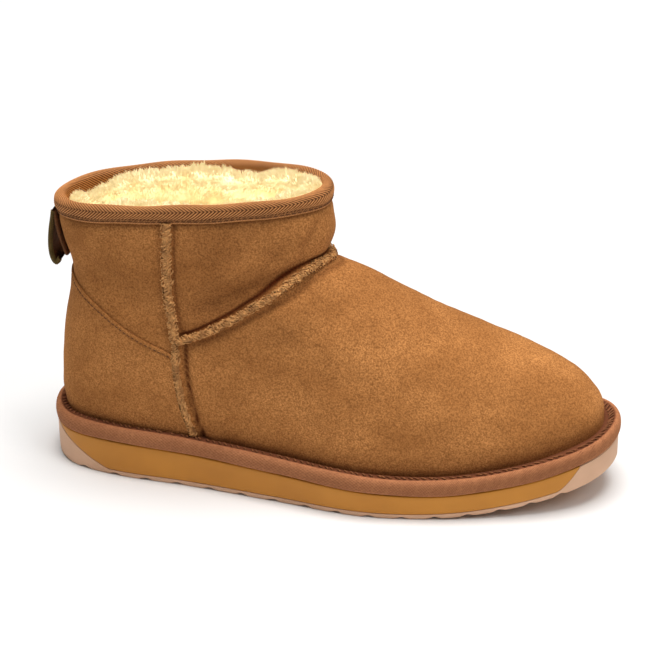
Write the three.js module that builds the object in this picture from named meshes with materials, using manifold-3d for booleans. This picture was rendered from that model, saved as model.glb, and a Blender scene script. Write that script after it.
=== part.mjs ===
// A low sheepskin boot for the right foot, in millimetres.
// +X runs from heel to toe, +Y towards the inner side of the foot, +Z up, and the sole stands on z = 0.
import * as THREE from "three";
import { mergeVertices } from "three/addons/utils/BufferGeometryUtils.js";
import Module from "manifold-3d";

const wasm = await Module();
wasm.setup();

// Sole
const LENGTH = 268; // heel end to toe end
const BALL_WIDTH = 100;
const HEEL_THICKNESS = 18.2; // ground to the top of the sole at the heel
const BALL_THICKNESS = 11.8; // the same under the ball
const TOE_SPRING = 15.5; // how far the toe end lifts
const SPRING_LENGTH = 94; // how far behind the toe end the lift starts
const HEEL_BEVEL = 1.5; // how far the heel end lifts
const HEEL_BEVEL_LENGTH = 22;
const SOLE_TAPER = 1; // how much narrower the side is at the ground
const SOLE_EDGE = 0.6; // rounding of the ground edge
const OUTSOLE_THICKNESS = 2.4;
const HEEL_CUP = 32; // how far the heel cup reaches forward at the ground
const HEEL_CUP_SLOPE = 28; // how much shorter it is at the top of the sole
const TOE_BUMPER = 25; // how far the toe bumper reaches back at the ground
const TOE_BUMPER_SLOPE = 10;
const LUG_DEPTH = 1.5;
const LUG_PITCH = 15;
const GROOVE_COUNT = 16;
const GROOVE_WIDTH = 2.8;
const GROOVE_SWING = 2.6; // how far each groove waves to either side

// Upper
const COLLAR_LENGTH = 126.8; // outside of the wall at the rim
const COLLAR_WIDTH = 57.6;
const COLLAR_HEIGHT = 136.1; // ground to the rim at the middle of the opening
const COLLAR_RISE = 12; // how much higher the rim is at the front than at the back
const COLLAR_SADDLE = 1.3; // how much lower both ends are than the sides
const COLLAR_BACK = 5.2; // sole's heel end to the back of the rim
const INSTEP_HEIGHT = 108.9; // ground to the crest where the shaft begins
const INSTEP_AT = 0.49; // where that is, as a share of LENGTH from the heel
const WALL = 2;
const CREASE_DEPTH = 1.6; // valley along the top of the instep seam
const CREASE_WIDTH = 9;

// Pieces on and in the upper
const WELT_LEDGE = 5.8; // sole's edge to the foot of the upper
const WELT_HEIGHT = 8.1;
const WELT_OVERHANG = 0.95;
const COLLAR_TAPE_HEIGHT = 6.4; // rim to the tape's lower edge
const COLLAR_TAPE_LAP = 6; // how far the tape reaches down inside
const COLLAR_TAPE_THICKNESS = 1.5;
const COLLAR_TAPE_EDGE = 0.7; // thickness of its flat, stitched edge
const COLLAR_TAPE_EDGE_HEIGHT = 2.2;
const SEAM_WIDTH = 4.6;
const SEAM_HEIGHT = 2.6;
const COUNTER_THICKNESS = 1;
const LOOP_WIDTH = 15;
const LOOP_DROP = 27; // height of the loop
const LOOP_REACH = 5; // how far it stands off the shaft
const LOOP_THICKNESS = 1.6;
const PILE = 6.5;
const PILE_DROP = 1.2; // wall's rim to the top of the fleece
const LOCK_COUNT = 21;
const LOCK_HEIGHT = 4.5;
const LOCK_RADIUS = 2.8;
const INSOLE_THICKNESS = 7;
const GAP = 0.3; // clearance between neighbouring pieces

// Plan of the sole. at: share of LENGTH from the heel; outer, inner: distance of each side from the
// middle line, as a share of BALL_WIDTH; ridge: the foot's crest line, towards the inner side.
const PLAN = [
  { at: 0, outer: 0, inner: 0, ridge: 0 },
  { at: 0.035, outer: 0.235, inner: 0.238, ridge: 0 },
  { at: 0.127, outer: 0.337, inner: 0.349, ridge: 0 },
  { at: 0.276, outer: 0.388, inner: 0.37, ridge: 0 },
  { at: 0.425, outer: 0.456, inner: 0.37, ridge: -0.01 },
  { at: 0.575, outer: 0.525, inner: 0.41, ridge: 0 },
  { at: 0.705, outer: 0.496, inner: 0.47, ridge: 0.02 },
  { at: 0.817, outer: 0.425, inner: 0.449, ridge: 0.035 },
  { at: 0.91, outer: 0.331, inner: 0.362, ridge: 0.035 },
  { at: 0.974, outer: 0.202, inner: 0.222, ridge: 0.025 },
  { at: 1, outer: -0.01, inner: 0.01, ridge: 0.01 },
];

// Crest of the foot from the side. at: share of LENGTH from the heel; rise: height above the sole's top,
// as a share of the crest's height where the shaft begins; full: how square the cross-section is.
const CREST = [
  { at: 0, rise: 1.9, full: 2.1 },
  { at: 0.2, rise: 1.72, full: 2.1 },
  { at: 0.4, rise: 1.26, full: 2.1 },
  { at: INSTEP_AT, rise: 1, full: 2.15 },
  { at: 0.58, rise: 0.889, full: 2.2 },
  { at: 0.68, rise: 0.752, full: 2.3 },
  { at: 0.78, rise: 0.616, full: 2.4 },
  { at: 0.86, rise: 0.489, full: 2.5 },
  { at: 0.92, rise: 0.367, full: 2.5 },
  { at: 0.955, rise: 0.25, full: 2.5 },
  { at: 0.972, rise: 0.128, full: 2.5 },
  { at: 0.9785, rise: 0, full: 2.5 },
];

// The shaft. level: share of the way from the sole to the rim; back, front: how far the wall stands outside
// the rim's own ends, as shares of COLLAR_LENGTH; width: half-width as a share of COLLAR_WIDTH.
const SHAFT = [
  { level: 0, back: 0, front: -0.05, width: 0.36 },
  { level: 0.12, back: 0, front: -0.045, width: 0.45 },
  { level: 0.3, back: -0.003, front: -0.04, width: 0.53 },
  { level: 0.45, back: -0.017, front: -0.038, width: 0.55 },
  { level: 0.6, back: -0.043, front: -0.035, width: 0.545 },
  { level: 0.7, back: -0.046, front: -0.03, width: 0.535 },
  { level: 0.76, back: -0.032, front: -0.002, width: 0.53 },
  { level: 0.84, back: -0.012, front: 0.016, width: 0.52 },
  { level: 0.92, back: -0.001, front: 0.011, width: 0.51 },
  { level: 1, back: 0, front: 0, width: 0.5 },
];
const SHAFT_FULL = 2.25; // how square the shaft is in plan
const BLEND = 8; // how tightly foot and shaft join

// Seam lines. at: share of LENGTH from the heel; level: share of the way from the sole to the rim.
const SIDE_SEAM = [
  { at: 0.276, level: 0.05 },
  { at: 0.2555, level: 0.2 },
  { at: 0.2475, level: 0.34 },
  { at: 0.2465, level: 0.47 },
  { at: 0.236, level: 0.68 },
  { at: 0.234, level: 0.84 },
  { at: 0.235, level: 0.94 },
];
const INSTEP_SEAM = [
  { at: 0.5, level: 0.735 },
  { at: 0.475, level: 0.735 },
  { at: 0.44, level: 0.698 },
  { at: 0.392, level: 0.631 },
  { at: 0.343, level: 0.565 },
  { at: 0.291, level: 0.503 },
  { at: 0.25, level: 0.468 },
];
const COUNTER_EDGE = [
  { at: 0.03, level: 0.7 },
  { at: 0.054, level: 0.662 },
  { at: 0.104, level: 0.583 },
  { at: 0.17, level: 0.487 },
  { at: 0.24, level: 0.414 },
];

// Cross-section of a raised seam before the upper is cut away, in shares of its width and height.
const SEAM_SECTION = [
  { across: -0.5, out: -0.6 },
  { across: -0.5, out: 0.45 },
  { across: -0.33, out: 0.85 },
  { across: 0, out: 1 },
  { across: 0.33, out: 0.85 },
  { across: 0.5, out: 0.45 },
  { across: 0.5, out: -0.6 },
];

const RING = 40; // points round each ring
const LEVELS = [0, 0.05, 0.11, 0.17, 0.23, 0.3, 0.38, 0.47, 0.56, 0.64, 0.7, 0.74, 0.79, 0.86, 0.945, 1];
const TURN = Math.PI * 2;

const { clamp, lerp, smoothstep } = THREE.MathUtils;

// A smooth curve through two columns of a table.
function through(rows, from, to, warp = (value) => value) {
  const x = rows.map((row) => warp(row[from]));
  const y = rows.map((row) => row[to]);
  const slope = x.map((_, i) => {
    const a = Math.max(i - 1, 0);
    const b = Math.min(i + 1, x.length - 1);
    return (y[b] - y[a]) / (x[b] - x[a]);
  });
  return (value) => {
    const v = clamp(warp(value), x[0], x.at(-1));
    let i = 1;
    while (i < x.length - 1 && v > x[i]) i++;
    const step = x[i] - x[i - 1];
    const u = (v - x[i - 1]) / step;
    const w = 1 - u;
    const ends = y[i - 1] * w * w * (1 + 2 * u) + y[i] * u * u * (1 + 2 * w);
    return ends + step * u * w * (slope[i - 1] * w - slope[i] * u);
  };
}

// Read as an angle, a share of the length lets a plan close in round ends.
const asAngle = (share) => Math.acos(clamp(1 - 2 * share, -1, 1));
const outerSide = through(PLAN, "at", "outer", asAngle);
const innerSide = through(PLAN, "at", "inner", asAngle);
const ridgeShare = through(PLAN, "at", "ridge");
const crestRise = through(CREST, "at", "rise");
const crestFull = through(CREST, "at", "full");
const shaftBack = through(SHAFT, "level", "back");
const shaftFront = through(SHAFT, "level", "front");
const shaftWidth = through(SHAFT, "level", "width");

const HEEL_X = -LENGTH / 2;
const TOE_X = LENGTH / 2;
const COLLAR_X = HEEL_X + COLLAR_BACK + COLLAR_LENGTH / 2;
const FOOT_END = HEEL_X + LENGTH * CREST.at(-1).at;
const shareAt = (x) => (x - HEEL_X) / LENGTH;

// Heights along the sole
const toeLift = (x) => TOE_SPRING * (Math.max(0, x - TOE_X + SPRING_LENGTH) / SPRING_LENGTH) ** 2;
const heelLift = (x) => HEEL_BEVEL * (Math.max(0, HEEL_X + HEEL_BEVEL_LENGTH - x) / HEEL_BEVEL_LENGTH) ** 2;
const ground = (x) => toeLift(x) + heelLift(x);
const soleTop = (x) => lerp(HEEL_THICKNESS, BALL_THICKNESS, smoothstep(shareAt(x), 0.1, 0.75)) + toeLift(x);

// Heights along the upper
function rim(x) {
  const along = (x - COLLAR_X) / (COLLAR_LENGTH / 2);
  const near = clamp(along, -1, 1);
  return COLLAR_HEIGHT + (COLLAR_RISE / 2) * along - COLLAR_SADDLE * near * near;
}
const shaftHeight = (x) => rim(x) - soleTop(x) - GAP;
const heightAt = (x, level) => soleTop(x) + GAP + level * shaftHeight(x);
const levelFor = (x, height) => height / shaftHeight(x);
const crestScale = INSTEP_HEIGHT - soleTop(HEEL_X + LENGTH * INSTEP_AT);
const crest = (x) => soleTop(x) + crestScale * crestRise(shareAt(x));

// Both ends of the upper at a level. Below the instep its front is where the crest has come down to the level.
function ringEnds(level) {
  const back = COLLAR_X - COLLAR_LENGTH * (0.5 + shaftBack(level));
  const shaft = COLLAR_X + COLLAR_LENGTH * (0.5 + shaftFront(level));
  let low = COLLAR_X;
  let high = FOOT_END;
  for (let i = 0; i < 40; i++) {
    const x = (low + high) / 2;
    if (crest(x) > heightAt(x, level)) low = x;
    else high = x;
  }
  return { back, shaft, front: Math.max(shaft, low) };
}

const ridge = (x) => BALL_WIDTH * ridgeShare(shareAt(x));

// Distance of the upper's side from the ridge. The foot rises from the sole's plan and closes at the crest.
function sideOf(x, level, ends, outer) {
  const span = clamp((x - ends.back) / (FOOT_END - ends.back), 0, 1);
  const edge = outer ? BALL_WIDTH * outerSide(span) + ridge(x) : BALL_WIDTH * innerSide(span) - ridge(x);
  const base = Math.max(edge, 0);
  const inset = base - WELT_LEDGE * Math.min(1, base / (0.3 * BALL_WIDTH));
  const height = crest(x) - soleTop(x);
  const rise = height > 0 ? clamp((heightAt(x, level) - soleTop(x)) / height, 0, 1) : 1;
  const foot = inset * Math.sqrt(1 - rise ** crestFull(shareAt(x)));
  const middle = (ends.back + ends.shaft) / 2;
  const along = Math.min(1, Math.abs(x - middle) / (ends.shaft - middle));
  const shaft = COLLAR_WIDTH * shaftWidth(level) * (1 - along ** SHAFT_FULL) ** (1 / SHAFT_FULL);
  return (foot ** BLEND + shaft ** BLEND) ** (1 / BLEND);
}

// A point on the plain form. turn: angle round the ring, from the front by way of the outer side.
function form(turn, level) {
  const ends = ringEnds(level);
  const x = (ends.front + ends.back) / 2 + ((ends.front - ends.back) / 2) * Math.cos(turn);
  const outer = Math.sin(turn) >= 0;
  const side = sideOf(x, level, ends, outer);
  return new THREE.Vector3(x, ridge(x) + (outer ? -side : side), heightAt(x, level));
}
function normalAt(turn, level) {
  const low = Math.max(level - 0.018, 0);
  const high = Math.min(level + 0.018, 1);
  const along = form(turn + 0.02, level).sub(form(turn - 0.02, level));
  return form(turn, high).sub(form(turn, low)).cross(along).normalize();
}

// Where a line on the upper lies: the angle round the ring at a place along the foot.
function turnAt(at, level) {
  const { back, front } = ringEnds(level);
  const x = HEEL_X + LENGTH * at;
  return Math.acos(clamp((2 * x - front - back) / (front - back), -1, 1));
}
const instepRows = INSTEP_SEAM.map(({ at, level }) => ({ turn: turnAt(at, level), level }));
const instepLevel = through(instepRows, "turn", "level");
const INSTEP_END = instepRows.at(-1).turn;

// Depth of the valley along the top of the instep seam.
function crease(turn, point, level) {
  const round = Math.acos(Math.cos(turn));
  const above = (level - instepLevel(round)) * shaftHeight(point.x) - SEAM_WIDTH / 2;
  const fade = 1 - smoothstep(round, INSTEP_END * 0.7, INSTEP_END);
  return CREASE_DEPTH * fade * Math.exp(-((above / CREASE_WIDTH) ** 2) * 4);
}

// A point of the upper's outside, moved out along the surface's own normal. It keeps its place on the
// plain form, so that every layer over the same places can be folded alike.
function surface(turn, level, out = 0) {
  const plain = form(turn, level);
  const point = plain.clone().addScaledVector(normalAt(turn, level), out - crease(turn, plain, level));
  return Object.assign(point, { plain });
}

// The point of that layer whose height is heightOf(x).
function layerAt(turn, out, heightOf) {
  let level = 0.5;
  let point;
  for (let i = 0; i < 8; i++) {
    point = surface(turn, level, out);
    level = clamp(level + (heightOf(point.x) - point.z) / shaftHeight(point.x), 0, 1);
  }
  point.z = heightOf(point.x);
  return point;
}

function meshOf(vertices, faces) {
  const geometry = new THREE.BufferGeometry();
  const position = vertices.flatMap((v) => [v.x, v.y, v.z]);
  geometry.setAttribute("position", new THREE.Float32BufferAttribute(position, 3));
  geometry.setIndex(faces.flat());
  return geometry;
}

// Six times the volume, to tell which way the faces point.
function sixfoldVolume(vertices, faces) {
  return faces.reduce((sum, [a, b, c]) => {
    return sum + vertices[a].dot(new THREE.Vector3().crossVectors(vertices[b], vertices[c]));
  }, 0);
}

// Joins rings of equal length into one body: back to the first ring, or with both ends capped.
// Each four-sided patch is folded along its shorter diagonal, measured on the plain form if there is one.
// A cap runs in strips between the two halves of its ring.
function loft(rings, capped = false) {
  const n = rings[0].length;
  const vertices = rings.flat();
  const place = vertices.map((v) => v.plain ?? v);
  const faces = [];
  const bands = capped ? rings.length - 1 : rings.length;
  for (let j = 0; j < bands; j++) {
    const a = j * n;
    const b = ((j + 1) % rings.length) * n;
    for (let i = 0; i < n; i++) {
      const k = (i + 1) % n;
      const rising = place[a + i].distanceTo(place[b + k]) < place[a + k].distanceTo(place[b + i]);
      if (rising) faces.push([a + i, b + i, b + k], [a + i, b + k, a + k]);
      else faces.push([a + i, b + i, a + k], [b + i, b + k, a + k]);
    }
  }
  if (capped) {
    const last = (rings.length - 1) * n;
    for (let i = 0; i < (n - 1) / 2; i++) {
      const p = i;
      const q = i + 1;
      const r = (n - i) % n;
      const s = n - i - 1;
      if (p !== r) faces.push([r, p, q], [last + r, last + q, last + p]);
      if (q !== s) faces.push([r, q, s], [last + r, last + s, last + q]);
    }
  }
  if (sixfoldVolume(vertices, faces) < 0) faces.forEach((face) => face.reverse());
  return meshOf(vertices, faces);
}

function solid(geometry) {
  const bare = geometry.clone();
  bare.deleteAttribute("normal");
  bare.deleteAttribute("uv");
  const merged = mergeVertices(bare, 1e-4);
  const mesh = new wasm.Mesh({
    numProp: 3,
    vertProperties: merged.getAttribute("position").array,
    triVerts: new Uint32Array(merged.getIndex().array),
  });
  return new wasm.Manifold(mesh);
}
function geometryOf(manifold) {
  const { vertProperties, triVerts } = manifold.getMesh();
  const geometry = new THREE.BufferGeometry();
  geometry.setAttribute("position", new THREE.BufferAttribute(vertProperties, 3));
  geometry.setIndex(new THREE.BufferAttribute(triVerts, 1));
  return geometry;
}

const turns = Array.from({ length: RING }, (_, i) => (i * TURN) / RING);

// Rings of the upper from the sole to the rim, moved out along the surface's own normal.
function wallRings(out) {
  const rings = LEVELS.map((level) => turns.map((turn) => surface(turn, level, out)));
  rings[0].forEach((point) => (point.z = heightAt(point.x, 0)));
  rings.at(-1).forEach((point) => (point.z = heightAt(point.x, 1)));
  return rings;
}
const makeUpper = () => loft([...wallRings(0), ...wallRings(-WALL).reverse()]);

// Everything within a distance outside the upper, on the same facets. Overlays are cut from and by it.
const skins = new Map();
function skin(out) {
  if (!skins.has(out)) {
    const rings = wallRings(out);
    const foot = rings[0].map((point) => new THREE.Vector3(point.x, point.y, point.z - GAP));
    skins.set(out, solid(loft([foot, ...rings], true)));
  }
  return skins.get(out);
}

// Sole: a block between the ground and the welt, split into midsole and outsole
function outline(turn) {
  const share = (1 + Math.cos(turn)) / 2;
  const y = Math.sin(turn) >= 0 ? -outerSide(share) : innerSide(share);
  return new THREE.Vector2(HEEL_X + LENGTH * share, BALL_WIDTH * y);
}
function outlineOut(turn, out) {
  const along = outline(turn + 0.01).sub(outline(turn - 0.01)).normalize();
  return outline(turn).add(new THREE.Vector2(-along.y, along.x).multiplyScalar(out));
}
function soleRing(out, height) {
  return turns.map((turn) => {
    const { x, y } = outlineOut(turn, out);
    return new THREE.Vector3(x, y, height(x));
  });
}
function soleBlock() {
  return solid(
    loft(
      [
        soleRing(-SOLE_TAPER - SOLE_EDGE, ground),
        soleRing(-SOLE_TAPER, (x) => ground(x) + SOLE_EDGE),
        soleRing(0, soleTop),
      ],
      true,
    ),
  );
}

// Side view of the midsole's lower boundary, raised by `clear`, run across the whole width.
function midsoleSpace(clear) {
  const steps = 16;
  const heel = HEEL_X + HEEL_CUP + clear;
  const toe = TOE_X - TOE_BUMPER - clear;
  const heelTop = heel - HEEL_CUP_SLOPE;
  const toeTop = toe + TOE_BUMPER_SLOPE;
  const shape = new THREE.Shape();
  shape.moveTo(heelTop, soleTop(heelTop));
  for (let i = 0; i <= steps; i++) {
    const x = lerp(heel, toe, i / steps);
    shape.lineTo(x, ground(x) + OUTSOLE_THICKNESS + clear);
  }
  shape.lineTo(toeTop, soleTop(toeTop));
  shape.lineTo(toeTop, COLLAR_HEIGHT);
  shape.lineTo(heelTop, COLLAR_HEIGHT);
  shape.closePath();
  const run = new THREE.ExtrudeGeometry(shape, { depth: 2 * BALL_WIDTH, bevelEnabled: false });
  return solid(run.rotateX(Math.PI / 2).translate(0, BALL_WIDTH, 0));
}

// Everything below the grooves' bottoms, which follow the ground side of the sole.
function treadSpace() {
  const steps = 24;
  const shape = new THREE.Shape();
  shape.moveTo(HEEL_X - LUG_PITCH, -HEEL_THICKNESS);
  for (let i = 0; i <= steps; i++) {
    const x = lerp(HEEL_X - LUG_PITCH, TOE_X + LUG_PITCH, i / steps);
    shape.lineTo(x, ground(x) + LUG_DEPTH);
  }
  shape.lineTo(TOE_X + LUG_PITCH, -HEEL_THICKNESS);
  shape.closePath();
  const run = new THREE.ExtrudeGeometry(shape, { depth: 2 * BALL_WIDTH, bevelEnabled: false });
  return solid(run.rotateX(Math.PI / 2).translate(0, BALL_WIDTH, 0));
}

// One waved groove across the outsole, open at both sides.
function groove(x) {
  const steps = 8;
  const half = GROOVE_WIDTH / 2;
  const line = Array.from({ length: steps + 1 }, (_, i) => {
    const y = lerp(-BALL_WIDTH, BALL_WIDTH, i / steps);
    return new THREE.Vector2(x + GROOVE_SWING * Math.cos(i * Math.PI), y);
  });
  const front = line.map((p) => new THREE.Vector2(p.x + half, p.y));
  const back = line.map((p) => new THREE.Vector2(p.x - half, p.y)).reverse();
  const run = new THREE.ExtrudeGeometry(new THREE.Shape([...front, ...back]), {
    depth: 2 * HEEL_THICKNESS + TOE_SPRING,
    bevelEnabled: false,
  });
  return solid(run.translate(0, 0, -HEEL_THICKNESS));
}
function makeOutsole() {
  const middle = (GROOVE_COUNT - 1) / 2;
  const grooves = Array.from({ length: GROOVE_COUNT }, (_, i) => groove((i - middle) * LUG_PITCH));
  const cuts = grooves.reduce((all, one) => all.add(one)).intersect(treadSpace());
  return geometryOf(soleBlock().subtract(midsoleSpace(0)).subtract(cuts));
}
const makeMidsole = () => geometryOf(soleBlock().intersect(midsoleSpace(GAP)));

// Welt binding: a roll on the sole's edge, fitted to the foot of the upper
function makeWeltBinding() {
  const outside = [
    { out: 0, up: GAP },
    { out: WELT_OVERHANG, up: 0.3 * WELT_HEIGHT },
    { out: WELT_OVERHANG * 0.8, up: 0.7 * WELT_HEIGHT },
    { out: -0.22 * WELT_LEDGE, up: WELT_HEIGHT },
    { out: -0.5 * WELT_LEDGE, up: WELT_HEIGHT },
  ];
  const inside = [0.84, 0].map((share) => share * WELT_HEIGHT);
  const rings = outside.map(({ out, up }) => soleRing(out, (x) => soleTop(x) + up));
  for (const up of inside) {
    rings.push(turns.map((turn) => layerAt(turn, -WALL / 2, (x) => soleTop(x) + Math.max(up, GAP))));
  }
  return geometryOf(solid(loft(rings)).subtract(skin(GAP)));
}

// Insole: fills the foot of the upper
function makeInsole() {
  const ring = (up) => turns.map((turn) => layerAt(turn, -WALL - GAP, (x) => soleTop(x) + GAP + up));
  return loft([ring(0), ring(INSOLE_THICKNESS)], true);
}

// Collar binding: tape folded over the rim
function makeCollarBinding() {
  const outer = GAP + COLLAR_TAPE_THICKNESS;
  const inner = -WALL - outer;
  const top = -GAP - COLLAR_TAPE_THICKNESS;
  const edgeTop = COLLAR_TAPE_HEIGHT - COLLAR_TAPE_EDGE_HEIGHT;
  const section = [
    { out: GAP, down: COLLAR_TAPE_HEIGHT },
    { out: GAP + COLLAR_TAPE_EDGE, down: COLLAR_TAPE_HEIGHT },
    { out: GAP + COLLAR_TAPE_EDGE, down: edgeTop },
    { out: outer, down: edgeTop - COLLAR_TAPE_EDGE },
    { out: outer, down: 0.3 * top },
    { out: -0.1 * WALL, down: top },
    { out: -0.9 * WALL, down: top },
    { out: inner, down: 0.3 * top },
    { out: inner, down: COLLAR_TAPE_LAP },
    { out: -WALL - GAP, down: COLLAR_TAPE_LAP },
    { out: -WALL - GAP, down: -GAP },
    { out: GAP, down: -GAP },
  ];
  return loft(section.map(({ out, down }) => turns.map((turn) => rimPoint(turn, out, down))));
}
const rimPoint = (turn, out, down) => layerAt(turn, out, (x) => rim(x) - down);

// Fleece lining: a sleeve on the insole, thinner behind the tape, with locks round its top
function makeLining() {
  const behindTape = -WALL - 2 * GAP - COLLAR_TAPE_THICKNESS;
  const outerLevels = LEVELS.filter((level) => level > 0.1 && level < 0.9);
  const innerLevels = [0.87, 0.76, 0.64, 0.5, 0.35, 0.2];
  const sleeve = (level, out) => turns.map((turn) => surface(turn, level, out));
  const foot = (out) => turns.map((turn) => layerAt(turn, out, (x) => soleTop(x) + 2 * GAP + INSOLE_THICKNESS));
  const outside = [foot(-WALL - GAP), ...outerLevels.map((level) => sleeve(level, -WALL - 1.5 * GAP))];
  const inside = innerLevels.map((level) => sleeve(level, -WALL - GAP - PILE));
  inside.push(foot(-WALL - GAP - PILE));
  const top = [
    { out: behindTape, down: COLLAR_TAPE_LAP + GAP },
    { out: behindTape, down: 0.4 * PILE },
    { out: behindTape - 0.3 * PILE, down: PILE_DROP },
    { out: behindTape - 0.75 * PILE, down: PILE_DROP },
    { out: behindTape - PILE, down: 0.6 * PILE },
  ];
  const over = top.map(({ out, down }) => turns.map((turn) => rimPoint(turn, out, down)));
  let body = solid(loft([...outside, ...over, ...inside]));
  for (let i = 0; i < LOCK_COUNT; i++) {
    const turn = ((i + 0.3 * Math.sin(7 * i)) * TURN) / LOCK_COUNT;
    const size = 1 + 0.2 * Math.sin(5 * i);
    const lock = new THREE.CylinderGeometry(0.4 * LOCK_RADIUS, LOCK_RADIUS * size, LOCK_HEIGHT * size, 5);
    const seat = rimPoint(turn, behindTape - (0.68 + 0.08 * Math.sin(3 * i)) * PILE, PILE_DROP);
    const inward = normalAt(turn, 1).negate();
    const lean = new THREE.Vector3(0, 0, 1).addScaledVector(inward, 0.5 + 0.4 * Math.sin(2 * i)).normalize();
    lock.applyQuaternion(new THREE.Quaternion().setFromUnitVectors(new THREE.Vector3(0, 1, 0), lean));
    body = body.add(solid(lock.translate(seat.x, seat.y, seat.z)));
  }
  return geometryOf(body);
}

// Raised seams: one section swept along a line on the upper
function sweep(line) {
  const rings = line.map(({ turn, level }, i) => {
    const ahead = line[Math.min(i + 1, line.length - 1)];
    const behind = line[Math.max(i - 1, 0)];
    const along = surface(ahead.turn, ahead.level).sub(surface(behind.turn, behind.level));
    const normal = normalAt(turn, level);
    const across = new THREE.Vector3().crossVectors(normal, along).normalize();
    const seat = surface(turn, level);
    return SEAM_SECTION.map((row) =>
      seat
        .clone()
        .addScaledVector(across, row.across * SEAM_WIDTH)
        .addScaledVector(normal, row.out * SEAM_HEIGHT),
    );
  });
  return geometryOf(solid(loft(rings, true)).subtract(skin(GAP)));
}
const sideSeamAt = through(SIDE_SEAM, "level", "at");
function makeSideSeam(side) {
  const x = HEEL_X + LENGTH * SIDE_SEAM[0].at;
  const low = levelFor(x, WELT_HEIGHT + GAP);
  const high = 1 - levelFor(x, COLLAR_TAPE_HEIGHT + 2 * GAP);
  const steps = 13;
  const line = Array.from({ length: steps + 1 }, (_, i) => {
    const level = lerp(low, high, i / steps);
    return { turn: side * turnAt(sideSeamAt(level), level), level };
  });
  return sweep(line);
}

// The instep seam's line, from one side seam over the front of the shaft to the other.
function instepLine() {
  const steps = 20;
  const first = INSTEP_SEAM.at(-1);
  const start = turnAt(first.at + (SEAM_WIDTH + GAP) / LENGTH, first.level);
  return Array.from({ length: steps + 1 }, (_, i) => {
    const turn = start * (1 - (2 * i) / steps);
    return { turn, level: instepLevel(Math.abs(turn)) };
  });
}

// Heel counter: a layer over the upper behind the side seams, under a sloping edge
const counterLevel = through(COUNTER_EDGE, "at", "level");
function makeCounter() {
  const steps = 10;
  const spot = (at, level) => new THREE.Vector2(HEEL_X + LENGTH * at, heightAt(HEEL_X + LENGTH * at, level));
  const clear = (SEAM_WIDTH / 2 + GAP) / LENGTH;
  const corner = COUNTER_EDGE.at(-1);
  const welt = levelFor(HEEL_X, WELT_HEIGHT + GAP);
  const shape = new THREE.Shape();
  shape.moveTo(HEEL_X - BALL_WIDTH, heightAt(HEEL_X, welt));
  for (let i = 0; i <= steps; i++) {
    const level = lerp(welt, corner.level, i / steps);
    const { x, y } = spot(sideSeamAt(level) - clear, level);
    shape.lineTo(x, y);
  }
  for (let i = 1; i <= steps; i++) {
    const at = lerp(corner.at - clear, COUNTER_EDGE[0].at, i / steps);
    const { x, y } = spot(at, counterLevel(at));
    shape.lineTo(x, y);
  }
  shape.lineTo(HEEL_X - BALL_WIDTH, heightAt(HEEL_X, COUNTER_EDGE[0].level));
  shape.closePath();
  const run = new THREE.ExtrudeGeometry(shape, { depth: 2 * BALL_WIDTH, bevelEnabled: false });
  const region = solid(run.rotateX(Math.PI / 2).translate(0, BALL_WIDTH, 0));
  return geometryOf(skin(GAP + COUNTER_THICKNESS).subtract(skin(GAP)).intersect(region));
}

// Pull loop: a strap that hangs straight down behind the shaft from the tape's lower edge
function loopContour(inset, fused) {
  const steps = 12;
  const top = rimPoint(Math.PI, 0, COLLAR_TAPE_HEIGHT + GAP);
  const spot = (u, out) => {
    const down = lerp(fused, LOOP_DROP - inset, u);
    return new THREE.Vector2(top.x - 2 * GAP - out, top.z - down);
  };
  const shares = Array.from({ length: steps + 1 }, (_, i) => i / steps);
  const bow = (u) => Math.sqrt(Math.max(0, Math.sin(Math.PI * u ** 1.5)));
  const outer = shares.map((u) => spot(u, inset + (LOOP_REACH - 2 * inset) * bow(u)));
  const inner = shares.slice(1, -1).map((u) => spot(1 - u, inset));
  return [...outer, ...inner];
}
function makeLoop() {
  const shape = new THREE.Shape(loopContour(0, 0));
  shape.holes.push(new THREE.Path(loopContour(LOOP_THICKNESS, 3 * LOOP_THICKNESS)));
  const band = new THREE.ExtrudeGeometry(shape, { depth: LOOP_WIDTH, bevelEnabled: false });
  return band.rotateX(Math.PI / 2).translate(0, LOOP_WIDTH / 2, 0);
}

const SUEDE = { color: 0xa8703e, roughness: 0.95 };
const SEAM = { color: 0xb5803f, roughness: 0.9 };
const TWILL = { color: 0x86502f, roughness: 0.85 };
const group = new THREE.Group();
function add(name, geometry, look) {
  const mesh = new THREE.Mesh(geometry, new THREE.MeshStandardMaterial({ metalness: 0, ...look }));
  mesh.name = name;
  group.add(mesh);
}
add("outsole", makeOutsole(), { color: 0xbe967d, roughness: 0.7 });
add("midsole", makeMidsole(), { color: 0xb2782d, roughness: 0.55 });
add("welt_binding", makeWeltBinding(), TWILL);
add("insole", makeInsole(), { color: 0xf0dca8, roughness: 1 });
add("upper", makeUpper(), SUEDE);
add("fleece_lining", makeLining(), { color: 0xfbecc0, roughness: 1 });
add("collar_binding", makeCollarBinding(), TWILL);
add("heel_counter", makeCounter(), SUEDE);
add("side_seam_outer", makeSideSeam(1), SEAM);
add("side_seam_inner", makeSideSeam(-1), SEAM);
add("instep_seam", sweep(instepLine()), SEAM);
add("pull_loop", makeLoop(), { color: 0x5a3a22, roughness: 0.8 });

export default group;
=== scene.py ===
# Looks of a low sheepskin boot for the right foot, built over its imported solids.
# Sizes are in millimetres; +X runs from heel to toe, +Y towards the inner side of the foot, +Z up.
import math

import bpy
import numpy as np
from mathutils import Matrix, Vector
from mathutils.kdtree import KDTree


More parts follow.
